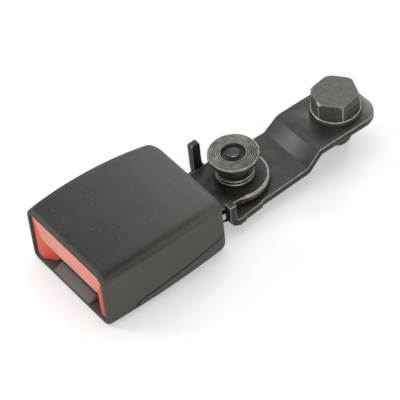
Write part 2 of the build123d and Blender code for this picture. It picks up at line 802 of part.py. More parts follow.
def main():
    os.makedirs("parts", exist_ok=True)
    save(make_anchor_bracket(), "anchor_bracket")
    save(make_swivel_rivet(), "swivel_rivet")
    spacer = make_washer(rivet_x, washer_r + spacer_overlap, rivet_r + pin_gap,
                         foot_top + seat_gap / 2, spacer_thickness - seat_gap)
    save(spacer, "swivel_spacer")
    wave_washer = make_washer(rivet_x, washer_r, rivet_r + pin_gap, floor_top + seat_gap / 2,
                              wave_washer_thickness - seat_gap / 2)
    save(wave_washer, "wave_washer")
    flat_washer = make_washer(rivet_x, washer_r - flat_washer_step, rivet_r + pin_gap,
                              floor_top + wave_washer_thickness + seat_gap / 2,
                              flat_washer_thickness - seat_gap / 2)
    save(flat_washer, "rivet_washer")

    save(make_anchor_bolt(), "anchor_bolt")
    save(make_bolt_washer(), "bolt_washer")
    save(make_washer(0, bush_outer_r, bolt_shoulder_r + running_gap, 0, plate), "bolt_bush")

    save(make_buckle_frame(), "buckle_frame")
    save(make_latch(), "latch")
    pivot_pin = make_cross_pin(latch_pivot_x, latch_pivot_z, latch_pin_r, wall_outer + latch_pin_stand)
    save(pivot_pin, "latch_pivot_pin")
    save(make_torsion_spring(), "latch_spring")
    save(make_cross_pin(at_depth(lock_bar_depth), lock_bar_z, lock_bar_r, lock_bar_half), "lock_bar")

    save(make_ejector(), "ejector")
    spring_front = at_depth(ejector_end) + seat_gap
    spring_base = Plane(origin=(spring_front, 0, spring_axis_z), z_dir=(1, 0, 0))
    ejector_spring = make_coil(spring_base, at_depth(spring_slot_end) - spring_front - seat_gap,
                               ejector_spring_r, spring_wire_r, ejector_spring_turns)
    save(ejector_spring, "ejector_spring")

    arm_end = at_depth(lock_bar_depth) + button_arm_tail
    boss_x = at_depth(spring_boss_depth)
    for side, name in ((-1, "near"), (1, "far")):
        spring_base = Plane(origin=(arm_end + seat_gap, side * button_spring_half, button_spring_z),
                            z_dir=(1, 0, 0))
        spring = make_coil(spring_base, boss_x - arm_end - 2 * seat_gap, button_spring_r,
                           spring_wire_r, button_spring_turns)
        save(spring, f"button_spring_{name}")

    shell = make_casing_shell()
    save(make_upper_casing(shell), "upper_casing")
    save(make_lower_cover(shell), "lower_cover")
    save(make_release_button(), "release_button")
    save(make_tongue_guide(), "tongue_guide")


main()
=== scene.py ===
# %% [markdown]
# # A seat belt buckle on its swivelling bracket
# The real object is the fixed end of a rear seat belt. A dark moulded casing with an
# orange push button sits on a black steel tail. The tail swivels on a rivet in a joggled
# bracket, and a hexagon bolt holds the bracket to the car. The solid model is loaded
# first as a fixed frame. Each visible piece is then modelled or dressed in its own place.

# %% Load the solid model
from math import atan2, cos, degrees, exp, hypot, pi, radians, sin, sqrt

import bmesh
import bpy
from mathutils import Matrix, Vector


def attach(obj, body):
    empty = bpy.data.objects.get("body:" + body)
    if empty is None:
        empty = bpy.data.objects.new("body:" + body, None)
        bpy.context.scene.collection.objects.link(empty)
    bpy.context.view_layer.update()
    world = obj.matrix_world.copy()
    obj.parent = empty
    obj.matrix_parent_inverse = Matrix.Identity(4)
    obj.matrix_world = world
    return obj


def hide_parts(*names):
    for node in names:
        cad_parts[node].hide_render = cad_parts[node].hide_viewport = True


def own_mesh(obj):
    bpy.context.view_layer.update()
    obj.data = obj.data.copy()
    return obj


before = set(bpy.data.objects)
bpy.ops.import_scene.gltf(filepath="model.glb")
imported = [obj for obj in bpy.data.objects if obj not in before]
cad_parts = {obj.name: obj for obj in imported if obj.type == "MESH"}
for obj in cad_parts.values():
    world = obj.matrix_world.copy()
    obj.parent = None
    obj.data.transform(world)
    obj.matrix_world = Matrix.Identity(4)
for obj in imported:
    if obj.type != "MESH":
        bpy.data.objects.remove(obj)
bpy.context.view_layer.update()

MM = 0.001

# %% [markdown]
# ## Small helpers
# Colours are chosen as sRGB hex values, which shaders don't take: they want linear light.
# One function turns the one into the other. Another adds a shader node, with its settings,
# its links and a ramp's stops, so that each material below reads like a list of its parts.

# %% Colours and nodes
def linear(code):
    """The linear colour of an sRGB hex value."""
    channels = [int(code[place:place + 2], 16) / 255 for place in (1, 3, 5)]
    light = [c / 12.92 if c <= 0.04045 else ((c + 0.055) / 1.055) ** 2.4 for c in channels]
    return (*light, 1.0)


def add_node(material, kind, inputs=None, stops=(), **settings):
    """Add one node, set or link its inputs, and place the stops of a colour ramp."""
    tree = material.node_tree
    made = tree.nodes.new(kind)
    for name, value in settings.items():
        setattr(made, name, value)
    for name, value in (inputs or {}).items():
        if isinstance(value, bpy.types.NodeSocket):
            tree.links.new(value, made.inputs[name])
        else:
            made.inputs[name].default_value = value
    for stop, (place, code) in zip(made.color_ramp.elements if stops else (), stops):
        stop.position = place
        stop.color = linear(code)
    return made


def per_mm(size):
    """Texture scale at which one feature is this many millimetres wide."""
    return 1 / (size * MM)


def new_surface(name, **values):
    """A material with its own shader, whose plain sockets are set here."""
    material = bpy.data.materials.new(name)
    material.use_nodes = True
    shader = material.node_tree.nodes["Principled BSDF"]
    for socket, value in values.items():
        shader.inputs[socket.replace("_", " ")].default_value = value
    return material, shader


def plug(material, shader, **sources):
    """Link node outputs to the shader's sockets."""
    for socket, source in sources.items():
        material.node_tree.links.new(source, shader.inputs[socket.replace("_", " ")])


# %% [markdown]
# ## Working as by hand
# Every piece starts as a primitive or as a copy of its solid. An operator acts on all that
# is selected, so helpers clear the selection or choose one piece. Another picks corners or
# faces by their place, as a hand with a mouse would. The last one closes the work on a
# piece: its place goes into its mesh, it rides on its body and it stands for its solid.

# %% Select, apply and hand over
def clear_selection():
    """Leave edit mode with nothing selected."""
    if bpy.context.object and bpy.context.object.mode != "OBJECT":
        bpy.ops.object.mode_set(mode="OBJECT")
    bpy.ops.object.select_all(action="DESELECT")


def choose(piece):
    """Select one piece alone and make it the active one."""
    clear_selection()
    piece.select_set(True)
    bpy.context.view_layer.objects.active = piece


def pick(kind, test):
    """In edit mode, select only the corners or edges whose middle passes the test."""
    bpy.ops.mesh.select_mode(type=kind)
    bpy.ops.mesh.select_all(action="DESELECT")
    mesh = bmesh.from_edit_mesh(bpy.context.object.data)
    for item in mesh.verts if kind == "VERT" else mesh.edges:
        if kind == "VERT":
            middle = item.co
        else:
            middle = (item.verts[0].co + item.verts[1].co) / 2
        if test(middle / MM, item):
            item.select_set(True)
    mesh.select_flush_mode()
    bmesh.update_edit_mesh(bpy.context.object.data)


def slice_faces(place_mm, normal):
    """In edit mode, cut every face along a plane and keep both sides."""
    bpy.ops.mesh.select_all(action="SELECT")
    bpy.ops.mesh.bisect(plane_co=[c * MM for c in place_mm], plane_no=normal)


def apply_modifier(piece, kind, **settings):
    """Add a modifier, set it and apply it."""
    modifier = piece.modifiers.new(kind, kind)
    for name, value in settings.items():
        setattr(modifier, name, value)
    bpy.context.view_layer.objects.active = piece
    bpy.ops.object.modifier_apply(modifier=modifier.name)


def settle():
    """Put the chosen piece's place into its mesh and turn its faces outwards."""
    bpy.ops.object.transform_apply(location=True, rotation=True, scale=True)
    bpy.ops.object.mode_set(mode="EDIT")
    bpy.ops.mesh.select_all(action="SELECT")
    bpy.ops.mesh.normals_make_consistent(inside=False)
    bpy.ops.object.mode_set(mode="OBJECT")


def hand_over(piece, body, nodes, slot, *materials, angle=30):
    """Finish the piece, let it ride on its body and let it stand for its solid."""
    choose(piece)
    settle()
    bpy.ops.object.shade_smooth_by_angle(angle=radians(angle))
    for place, material in enumerate(materials):
        if place < len(piece.data.materials):
            piece.data.materials[place] = material
        else:
            piece.data.materials.append(material)
    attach(piece, body)
    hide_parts(*nodes)
    print(piece.name, "faces:", len(piece.data.polygons))


# %% [markdown]
# Sheet steel parts and simple mouldings already have the right shape as solids. What
# they lack are the tiny rounded edges that catch the light. A copy of the solid's mesh is
# merged, its flat faces are joined up, and a Bevel modifier rounds the sharp edges. The
# new faces take the second material, a lighter tone that is partly wear and partly
# painted highlight.

# %% A dressed copy of a solid
sharp_turn = 35             # degrees; an edge that turns further counts as sharp


def merged_copy(node, name):
    """Copy of a solid's mesh with its loose triangles merged into clean faces."""
    piece = bpy.data.objects.new(name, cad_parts[node].data.copy())
    bpy.context.scene.collection.objects.link(piece)
    choose(piece)
    bpy.ops.object.mode_set(mode="EDIT")
    bpy.ops.mesh.select_all(action="SELECT")
    bpy.ops.mesh.remove_doubles(threshold=0.002 * MM)
    bpy.ops.mesh.dissolve_limited(angle_limit=radians(1.0))
    bpy.ops.object.mode_set(mode="OBJECT")
    piece.data.materials.clear()
    return piece


def round_edges(piece, edge_mm):
    """Round the sharp edges; the new faces take the second material."""
    while len(piece.data.materials) < 2:
        piece.data.materials.append(None)
    apply_modifier(piece, "BEVEL", width=edge_mm * MM, segments=2, limit_method="ANGLE",
                   angle_limit=radians(sharp_turn), material=1, use_clamp_overlap=False)


def paint(piece, place, test):
    """Give another of the piece's materials to the faces that pass the test."""
    for face in piece.data.polygons:
        if test(face.center / MM, face.normal):
            face.material_index = place


def copied(piece):
    """A copy in the same place, with its own mesh."""
    choose(piece)
    bpy.ops.object.duplicate()
    return bpy.context.object


def mirrored(piece):
    """A copy on the other side of the middle plane, with its own mesh."""
    made = copied(piece)
    made.scale = (1, -1, 1)
    settle()
    return made


# %% [markdown]
# Rivets, washers and screws are turned or rolled, so they are modelled as on a lathe. A
# circle is grown step by step along its outline: extrude, then resize. A solid piece
# starts from a filled disc. A ring's outline comes back to its start and is merged there.

# %% A turned piece
def turned(name, centre_mm, outline, ring=False, steps=96):
    """Revolved piece about +Z from (radius, height) pairs in millimetres."""
    clear_selection()
    radius, height = outline[0]
    place = Vector((centre_mm[0], centre_mm[1], height)) * MM
    bpy.ops.mesh.primitive_circle_add(vertices=steps, radius=radius * MM, location=place,
                                      fill_type="NOTHING" if ring else "NGON")
    piece = bpy.context.object
    piece.name = name
    bpy.ops.object.mode_set(mode="EDIT")
    bpy.ops.mesh.select_all(action="SELECT")
    for next_radius, next_height in outline[1:]:
        rise = (next_height - height) * MM
        bpy.ops.mesh.extrude_region_move(TRANSFORM_OT_translate={"value": (0, 0, rise)})
        ratio = next_radius / radius
        centre = (centre_mm[0] * MM, centre_mm[1] * MM, next_height * MM)
        bpy.ops.transform.resize(value=(ratio, ratio, 1), center_override=centre)
        radius, height = next_radius, next_height
    if ring:
        bpy.ops.mesh.select_all(action="SELECT")
        bpy.ops.mesh.remove_doubles(threshold=0.001 * MM)
    bpy.ops.object.mode_set(mode="OBJECT")
    return piece


# %% [markdown]
# ## Materials
# ### Moulded polypropylene
# The casing is injection moulded in a spark-eroded tool. That leaves a fine even grain
# which breaks up the gloss, and the plastic looks soft and almost matt. Its brown-black
# varies a little over centimetres. The top stays dark near the mouth. Painted light greys
# the rest: a painted highlight on its lip, a painted sheen on its rear end and painted
# light on its sides. Single specks of pale dust lie on it.

# %% Casing plastic
mouth_x = -128.5
casing_length = 58.0
rear_x = mouth_x + casing_length
grain_mm = 0.45             # the real grain is nearer 0.1 mm and wouldn't show
blotch_mm = 14.0
speck_cell_mm = 2.7
speck_share = 0.055         # a speck's radius as a share of its cell
crown_low = 20.6            # height down to which the crown stays dark, without painted light
side_high = 18.0            # height below which the painted light on the sides is full
lip_inner, lip_outer = 2.4, 0.8     # a painted highlight grows from here to there behind the mouth
lip_highlight = 0.7


def casing_plastic(name, low, high, lit_grey, painted_light_share):
    """Grained polypropylene between two tones, with painted light greying its rear, sides
    and lip, and dust.
    """
    material, shader = new_surface(name, Roughness=0.5, IOR=1.49, Specular_IOR_Level=0.3)
    place = add_node(material, "ShaderNodeTexCoord").outputs["Object"]
    blotch = add_node(material, "ShaderNodeTexNoise",
                      {"Vector": place, "Scale": per_mm(blotch_mm), "Detail": 9.0,
                       "Roughness": 0.62})
    tone = add_node(material, "ShaderNodeValToRGB", {"Fac": blotch.outputs["Fac"]},
                    stops=((0.35, low), (0.65, high)))
    along = add_node(material, "ShaderNodeSeparateXYZ", {"Vector": place})
    # Painted light: the tone greys towards the rear as a painted sheen, below the crown as
    # painted light on the sides, and on the lip as a painted highlight.
    rearward = add_node(material, "ShaderNodeMapRange",
                        {"Value": along.outputs["X"], "From Min": mouth_x * MM,
                         "From Max": rear_x * MM, "To Min": 0.0, "To Max": painted_light_share})
    downward = add_node(material, "ShaderNodeMapRange",
                        {"Value": along.outputs["Z"], "From Min": crown_low * MM,
                         "From Max": side_high * MM, "To Min": 0.0, "To Max": painted_light_share})
    lip = add_node(material, "ShaderNodeMapRange",
                   {"Value": along.outputs["X"], "From Min": (mouth_x + lip_inner) * MM,
                    "From Max": (mouth_x + lip_outer) * MM, "To Min": 0.0,
                    "To Max": lip_highlight})
    edges = add_node(material, "ShaderNodeMath",
                     {0: lip.outputs["Result"], 1: downward.outputs["Result"]},
                     operation="MAXIMUM")
    painted_light = add_node(material, "ShaderNodeMath",
                    {0: rearward.outputs["Result"], 1: edges.outputs[0]},
                    operation="MAXIMUM")
    lit_tone = add_node(material, "ShaderNodeMix",
                     {"Factor": painted_light.outputs[0], "A": tone.outputs["Color"],
                      "B": linear(lit_grey)}, data_type="RGBA")
    cells = add_node(material, "ShaderNodeTexVoronoi",
                     {"Vector": place, "Scale": per_mm(speck_cell_mm)})
    speck = add_node(material, "ShaderNodeMath",
                     {0: cells.outputs["Distance"], 1: speck_share}, operation="LESS_THAN")
    dusty = add_node(material, "ShaderNodeMix",
                     {"Factor": speck.outputs[0], "A": lit_tone.outputs["Result"],
                      "B": linear("#8f8b84")}, data_type="RGBA")
    grain = add_node(material, "ShaderNodeTexNoise",
                     {"Vector": place, "Scale": per_mm(grain_mm), "Detail": 2.0})
    bump = add_node(material, "ShaderNodeBump",
                    {"Height": grain.outputs["Fac"], "Strength": 0.6,
                     "Distance": 0.05 * MM})
    gloss = add_node(material, "ShaderNodeMapRange",
                     {"Value": grain.outputs["Fac"], "To Min": 0.42, "To Max": 0.62})
    plug(material, shader, Base_Color=dusty.outputs["Result"],
         Roughness=gloss.outputs["Result"], Normal=bump.outputs["Normal"])
    return material


casing_finish = casing_plastic("moulded_polypropylene", "#211d1a", "#2b2723",
                               lit_grey="#4e4a46", painted_light_share=0.95)
cover_finish = casing_plastic("moulded_polypropylene_cover", "#423e3b", "#4b4744",
                              lit_grey="#524e4b", painted_light_share=0.6)
guide_finish = casing_plastic("moulded_glass_filled_nylon", "#5d5855", "#696461",
                              lit_grey="#6b6663", painted_light_share=0.2)
print("casing grain, mm:", grain_mm)

# %% [markdown]
# ### Moulded acetal
# The button is acetal in warning orange, moulded in a polished tool. It is smoother than
# the casing, with a soft sheen. Its front faces are paler, a painted highlight.

# %% Button plastic
def button_plastic(name, low, high, roughness):
    """Smooth acetal between two tones, with a faint orange-peel surface."""
    material, shader = new_surface(name, Roughness=roughness, IOR=1.48)
    shader.inputs["Subsurface Weight"].default_value = 0.08
    shader.inputs["Subsurface Scale"].default_value = 0.6 * MM
    place = add_node(material, "ShaderNodeTexCoord").outputs["Object"]
    cloud = add_node(material, "ShaderNodeTexNoise",
                     {"Vector": place, "Scale": per_mm(9.0), "Detail": 3.0})
    tone = add_node(material, "ShaderNodeValToRGB", {"Fac": cloud.outputs["Fac"]},
                    stops=((0.35, low), (0.65, high)))
    peel = add_node(material, "ShaderNodeTexNoise",
                    {"Vector": place, "Scale": per_mm(0.8), "Detail": 2.0})
    bump = add_node(material, "ShaderNodeBump",
                    {"Height": peel.outputs["Fac"], "Strength": 0.15,
                     "Distance": 0.02 * MM})
    plug(material, shader, Base_Color=tone.outputs["Color"], Normal=bump.outputs["Normal"])
    return material


button_finish = button_plastic("moulded_acetal_orange", "#d9553d", "#e0604a", 0.38)
# Paler orange for the band's front faces: a painted highlight.
button_front_highlight = button_plastic("acetal_orange_painted_highlight", "#e58f7c", "#ec9c8a", 0.45)
natural_acetal = button_plastic("moulded_acetal_natural", "#c3bfb5", "#d2cec4", 0.4)
print("button tones:", button_finish.name, button_front_highlight.name)

# %% [markdown]
# ### Phosphated sheet steel
# The bracket is blanked and bent from 3 mm sheet, then phosphated and oiled. Phosphate is
# a crystal layer and not bare metal, so it is dark, a little mottled and only softly
# glossy. Its lighter edges are partly rubbed steel and partly painted highlight, and a
# painted sheen lightens the bracket's outer end.

# %% Sheet and bar steel
sheen_start, sheen_full = 3.0, 12.0     # a painted sheen grows from here to there along X
crystal_mm = 0.5            # the real crystals are far finer and wouldn't show


def coated_steel(name, low, high, mottle_mm, roughness, metallic, shine=0.5, sheen_share=0.0):
    """Steel under a thin crystal coat, mottled between two tones, with a painted sheen
    along X.
    """
    material, shader = new_surface(name, Roughness=roughness, Metallic=metallic,
                                   Specular_IOR_Level=shine)
    place = add_node(material, "ShaderNodeTexCoord").outputs["Object"]
    mottle = add_node(material, "ShaderNodeTexNoise",
                      {"Vector": place, "Scale": per_mm(mottle_mm), "Detail": 6.0,
                       "Roughness": 0.65})
    tone = add_node(material, "ShaderNodeValToRGB", {"Fac": mottle.outputs["Fac"]},
                    stops=((0.35, low), (0.68, high)))
    along = add_node(material, "ShaderNodeSeparateXYZ", {"Vector": place})
    # Painted sheen: along X the tone turns towards a paler grey.
    sheen_ramp = add_node(material, "ShaderNodeMapRange",
                      {"Value": along.outputs["X"], "From Min": sheen_start * MM,
                       "From Max": sheen_full * MM, "To Min": 0.0, "To Max": sheen_share})
    sheened = add_node(material, "ShaderNodeMix",
                    {"Factor": sheen_ramp.outputs["Result"], "A": tone.outputs["Color"],
                     "B": linear("#8d8882")}, data_type="RGBA")
    crystals = add_node(material, "ShaderNodeTexNoise",
                        {"Vector": place, "Scale": per_mm(crystal_mm), "Detail": 3.0})
    bump = add_node(material, "ShaderNodeBump",
                    {"Height": crystals.outputs["Fac"], "Strength": 0.3,
                     "Distance": 0.01 * MM})
    gloss = add_node(material, "ShaderNodeMapRange",
                     {"Value": mottle.outputs["Fac"], "To Min": roughness - 0.08,
                      "To Max": roughness + 0.1})
    plug(material, shader, Base_Color=sheened.outputs["Result"],
         Roughness=gloss.outputs["Result"], Normal=bump.outputs["Normal"])
    return material


# A painted sheen lightens the bracket towards its outer end.
bracket_finish = coated_steel("phosphated_sheet_steel", "#262320", "#3a3632", 5.0, 0.34,
                              0.1, shine=0.4, sheen_share=0.5)
# Lighter steel for the bracket's edges: partly rubbed steel, partly painted highlight.
bracket_edge = coated_steel("sheet_edge_rubbed_and_painted_highlight", "#7a746c", "#a39c92", 2.5, 0.34, 0.4)
tail_finish = coated_steel("oiled_black_sheet_steel", "#1d1b19", "#2c2926", 4.0, 0.34,
                           0.05, shine=0.35)
# Lighter steel for the tail's edges: partly rubbed steel, partly painted highlight.
tail_edge = coated_steel("tail_edge_rubbed_and_painted_highlight", "#7d776e", "#aaa398", 2.0, 0.33, 0.4)
bolt_finish = coated_steel("zinc_phosphated_bolt", "#494642", "#615d58", 1.8, 0.4, 0.3)
# Painted highlights: the bolt's and its washer's edges, and the chamfer round the bolt's
# top.
bolt_edge = coated_steel("bolt_edge_painted_highlight", "#a19b92", "#c2bcb1", 1.5, 0.32, 0.5)
bolt_corner = coated_steel("bolt_chamfer_painted_highlight", "#6a655e", "#8c867d", 1.2, 0.36, 0.4)
plated_finish = coated_steel("zinc_plated_steel", "#7d7b77", "#97948f", 1.6, 0.33, 0.75)
spring_finish = coated_steel("drawn_spring_wire", "#85827c", "#a19d96", 0.9, 0.3, 0.8)
print("steels:", bracket_finish.name, tail_finish.name, bolt_finish.name)

# %% [markdown]
# ### Turned and blackened steel
# The swivel rivet is turned, and the facing tool leaves fine rings round its axis.
# Blackening stays in the grooves while the crests rub bright. The rings follow the distance
# from the rivet's axis, which a Mapping node moves to the middle of the pattern.

# %% Rivet steel
rivet_x = -50.0
ring_pitch_mm = 0.72
ring_start_mm = 9.3         # radius of the outermost groove's outer edge


def turned_steel(name, dark, light):
    """Blackened steel with bright turning rings round the rivet's axis."""
    material, shader = new_surface(name, Roughness=0.36, Metallic=0.3)
    place = add_node(material, "ShaderNodeTexCoord").outputs["Object"]
    centred = add_node(material, "ShaderNodeMapping",
                       {"Vector": place, "Location": (-rivet_x * MM, 0.0, 0.0)})
    flat = add_node(material, "ShaderNodeVectorMath",
                    {0: centred.outputs["Vector"], 1: (1.0, 1.0, 0.0)},
                    operation="MULTIPLY")
    reach = add_node(material, "ShaderNodeVectorMath", {0: flat.outputs["Vector"]},
                     operation="LENGTH")
    turns = add_node(material, "ShaderNodeMath",
                     {0: reach.outputs["Value"], 1: 2 * pi * per_mm(ring_pitch_mm),
                      2: -2 * pi * (ring_start_mm - 0.2) / ring_pitch_mm + pi},
                     operation="MULTIPLY_ADD")
    wave = add_node(material, "ShaderNodeMath", {0: turns.outputs[0]}, operation="COSINE")
    rub = add_node(material, "ShaderNodeTexNoise",
                   {"Vector": place, "Scale": per_mm(2.6), "Detail": 4.0})
    level = add_node(material, "ShaderNodeMath",
                     {0: wave.outputs[0], 1: 0.3, 2: rub.outputs["Fac"]},
                     operation="MULTIPLY_ADD")
    tone = add_node(material, "ShaderNodeValToRGB", {"Fac": level.outputs[0]},
                    stops=((0.35, dark), (0.9, light)))
    plug(material, shader, Base_Color=tone.outputs["Color"])
    return material


ring_finish = turned_steel("turned_blackened_steel", "#2b2824", "#8f8a81")
rivet_finish = coated_steel("blackened_steel", "#25221f", "#423e39", 1.6, 0.38, 0.3)
dish_finish = coated_steel("darker_blackened_steel", "#1e1c18", "#2f2c26", 1.4, 0.4, 0.1,
                           shine=0.3)
# Painted highlight for the rivet's and the washers' edges.
rivet_edge = coated_steel("blackened_steel_painted_highlight", "#6b675f", "#a5a097", 1.3, 0.32, 0.5)
print("turning rings, mm apart:", ring_pitch_mm)

# %% [markdown]
# ## The casing
# The real casing is a hollow moulding: flat sides that swell a little, a crowned top and a
# soft crease in the shoulder between them. One cross-section is drawn first, by rounding
# the corners of a rectangle. It is then extruded towards the rear and resized at each
# station, which keeps the mesh in clean rows that shade without ripples.

# %% Sizes of the casing
casing_bottom = -5.0
mouth_half = 24.2
mouth_top = 21.8
side_slope, side_bend = 0.0617, 0.001575    # the sides swell along a parabola
crown_slope, crown_bend = 0.1165, 0.00283   # and so does the top
shoulder = 4.6
shoulder_steps = 16
keel = 3.2
keel_steps = 6
wall = 1.8
rear_corner = 5.0
rear_roof_round = 4.0
slack = 0.03                # keeps the skin inside the solid's box


def turn_in(distance, radius):
    """How far a round corner has drawn in at this distance from its end."""
    if distance >= radius:
        return 0.0
    return radius - sqrt(radius ** 2 - (radius - distance) ** 2)


def section_size(station):
    """Half width and height of the casing's outside at a distance behind the mouth."""
    left = casing_length - slack - station
    half = mouth_half + side_slope * station - side_bend * station ** 2 - slack
    height = (mouth_top + crown_slope * station - crown_bend * station ** 2 - slack
              - casing_bottom)
    return half - turn_in(left, rear_corner), height - turn_in(left, rear_roof_round)


mouth_size = section_size(0)
print("casing half width and height at the mouth:", [round(c, 2) for c in mouth_size])

# %% The casing's cross-section
clear_selection()
bpy.ops.mesh.primitive_plane_add(size=1, rotation=(0, radians(-90), 0), location=(
    mouth_x * MM, 0, (casing_bottom + mouth_size[1] / 2) * MM))
casing_skin = bpy.context.object
casing_skin.scale = (mouth_size[1] * MM, 2 * mouth_size[0] * MM, 1)
bpy.ops.object.transform_apply(location=True, rotation=True, scale=True)
bpy.ops.object.mode_set(mode="EDIT")
pick("VERT", lambda at, item: at.z > casing_bottom + mouth_size[1] - 1)
bpy.ops.mesh.bevel(offset=shoulder * MM, segments=shoulder_steps, affect="VERTICES")
pick("VERT", lambda at, item: at.z < casing_bottom + 1)
bpy.ops.mesh.bevel(offset=keel * MM, segments=keel_steps, affect="VERTICES")
bpy.ops.object.mode_set(mode="OBJECT")
print("section corners:", len(casing_skin.data.vertices))

# %% [markdown]
# Long straight runs of the section get a few more corners, so that the swelling sides and
# the crowned top have something to bend. Bisect cuts them in, and nothing is thrown away.
# Then the face in the middle goes, because only its outline is extruded.

# %% Cuts across the section
side_levels = (11.0, 6.0, 1.0)
crown_places = (-12.0, -4.0, 4.0, 12.0)
bpy.ops.object.mode_set(mode="EDIT")
for level in side_levels:
    slice_faces((0, 0, level), (0, 0, 1))
for across in crown_places:
    slice_faces((0, across, 0), (0, 1, 0))
pick("EDGE", lambda at, item: len(item.link_faces) == 2)
bpy.ops.mesh.delete(type="EDGE")
bpy.ops.mesh.select_all(action="SELECT")
bpy.ops.mesh.delete(type="ONLY_FACE")
bpy.ops.object.mode_set(mode="OBJECT")
print("outline corners:", len(casing_skin.data.vertices))

# %% Extrude the section to the rear
stations = [2.0, 3.2, 4.6, 8, 13, 18, 23, 28, 33, 38, 43, 47, 49.5, 51.5, 53, 54.3, 55.4,
            56.3, 57.0, 57.5, 57.8]
bpy.ops.object.mode_set(mode="EDIT")
bpy.ops.mesh.select_mode(type="EDGE")
bpy.ops.mesh.select_all(action="SELECT")
depth = 0.0
size = mouth_size
for station in stations:
    step = (station - depth) * MM
    bpy.ops.mesh.extrude_region_move(TRANSFORM_OT_translate={"value": (step, 0, 0)})
    half, height = section_size(station)
    anchor = ((mouth_x + station) * MM, 0, casing_bottom * MM)
    bpy.ops.transform.resize(value=(1, half / size[0], height / size[1]),
                             center_override=anchor)
    size = (half, height)
    depth = station
bpy.ops.mesh.edge_face_add()
bpy.ops.object.mode_set(mode="OBJECT")
print("skin corners:", len(casing_skin.data.vertices))

# %% [markdown]
# The crease is pressed in afterwards. Its rows are the corners of the rounded shoulder,
# told apart by their angle round the shoulder's axis. Rows near the crease move inwards,
# and those just below it swell outwards a little. The depth fades out at the lip and at
# the rear corner, as on the real moulding.

# %% Press the crease in
crease_angle = 48
crease_spread = 13
crease_depth = 1.15
crease_start, crease_run_in = 1.6, 2.6      # where it starts and how fast it deepens
crease_end, crease_run_out = 54.5, 9.0
swell_angle = 25
swell_share = 0.2


def crease_share(station):
    """1 along the side, fading to 0 at the lip and the rear corner."""
    lead = min(max((station - crease_start) / crease_run_in, 0.0), 1.0)
    trail = min(max((crease_end - station) / crease_run_out, 0.0), 1.0)
    return min(lead, trail)


def shoulder_angle(at, station):
    """Angle of a corner round the shoulder's axis, as it was in the mouth's section."""
    half, height = section_size(station)
    across = abs(at.y) * mouth_size[0] / half - (mouth_size[0] - shoulder)
    up = (at.z - casing_bottom) * mouth_size[1] / height - (mouth_size[1] - shoulder)
    return degrees(atan2(up, across))


bpy.ops.object.mode_set(mode="EDIT")
for station in stations:
    share = crease_share(station)
    for step in range(1, shoulder_steps) if share else ():
        angle = 90 * step / shoulder_steps
        press = exp(-((angle - crease_angle) / crease_spread) ** 2)
        press -= swell_share * exp(-((angle - swell_angle) / crease_spread) ** 2)
        for side in (-1, 1):
            pick("VERT", lambda at, item: abs(at.x - mouth_x - station) < 0.1
                 and at.y * side > 0 and abs(shoulder_angle(at, station) - angle) < 1.5)
            push = -crease_depth * share * press * MM
            bpy.ops.transform.translate(value=(0, side * push * cos(radians(angle)),
                                               push * sin(radians(angle))))
bpy.ops.object.mode_set(mode="OBJECT")
print("crease depth, mm:", crease_depth)

# %% [markdown]
# A moulding has one wall thickness, so a Solidify modifier gives the skin its wall, inwards
# from the outside. A copy of the skin gets a thinner wall that lies deeper. It is kept for
# the lap, the strip that closes the joint of the two mouldings from behind. Both edges of
# the mouth are then rounded with Bevel, the outer one widely.

# %% Wall and lip
lap_depth = 1.2
lap_thickness = 0.5
outer_lip, inner_lip = 1.3, 0.3     # how widely the mouth's two edges are rounded
lap = copied(casing_skin)
apply_modifier(lap, "SOLIDIFY", thickness=lap_thickness * MM,
               offset=1 - 2 * (lap_depth + lap_thickness) / lap_thickness)
apply_modifier(casing_skin, "SOLIDIFY", thickness=wall * MM, offset=-1.0)
bpy.ops.object.mode_set(mode="EDIT")
bpy.ops.mesh.select_all(action="SELECT")
bpy.ops.mesh.normals_make_consistent(inside=False)


def on_lip(at, item, outward):
    """True for edges of the mouth's rim, on its outer side (1) or its inner side (-1)."""
    if any(abs(corner.co.x / MM - mouth_x) > 0.05 for corner in item.verts):
        return False
    middle = casing_bottom + mouth_size[1] / 2
    skins = [face.normal for face in item.link_faces if abs(face.normal.x) < 0.5]
    return any((n.y * at.y + n.z * (at.z - middle)) * outward > 0 for n in skins)


for outward, radius, steps in ((1, outer_lip, 5), (-1, inner_lip, 2)):
    pick("EDGE", lambda at, item: on_lip(at, item, outward))
    bpy.ops.mesh.bevel(offset=radius * MM, segments=steps, affect="EDGES")
bpy.ops.object.mode_set(mode="OBJECT")
print("casing faces:", len(casing_skin.data.polygons))

# %% [markdown]
# The tail leaves the casing through a slot, cut with a Boolean where the mould would have
# had a slide. The same two helpers, a block and a cut, serve for every moulding below.

# %% The slot for the tail
tail_half = 11.6
slot_gap = 0.6
slot_depth = 7.0            # how far the slot's tool reaches into the casing
tail_bottom = -0.6
floor_top = 2.4
overrun = 3.0               # how far a cutting tool runs past the casing


def block(name, low, high):
    """A cube between two corners, in millimetres."""
    clear_selection()
    middle = (Vector(low) + Vector(high)) / 2 * MM
    bpy.ops.mesh.primitive_cube_add(size=1, location=middle)
    made = bpy.context.object
    made.name = name
    made.scale = (Vector(high) - Vector(low)) * MM
    bpy.ops.object.transform_apply(location=True, rotation=True, scale=True)
    return made


def carve(piece, tool, operation):
    """Apply a Boolean and take its tool away."""
    choose(piece)
    apply_modifier(piece, "BOOLEAN", object=tool, operation=operation, solver="EXACT")
    bpy.data.objects.remove(tool, do_unlink=True)


slot_tool = block("slot_tool",
                  (rear_x - slot_depth, -tail_half - slot_gap, tail_bottom - slot_gap),
                  (rear_x + overrun, tail_half + slot_gap, floor_top + slot_gap))
carve(casing_skin, slot_tool, "DIFFERENCE")
print("casing faces:", len(casing_skin.data.polygons))

# %% [markdown]
# The lower cover is a second moulding that closes the casing from below. Its outline runs
# up behind the mouth, turns a round corner and climbs gently to the rear. One shape cuts
# the casing, and a slightly smaller one keeps the cover, so a fine joint stays between.

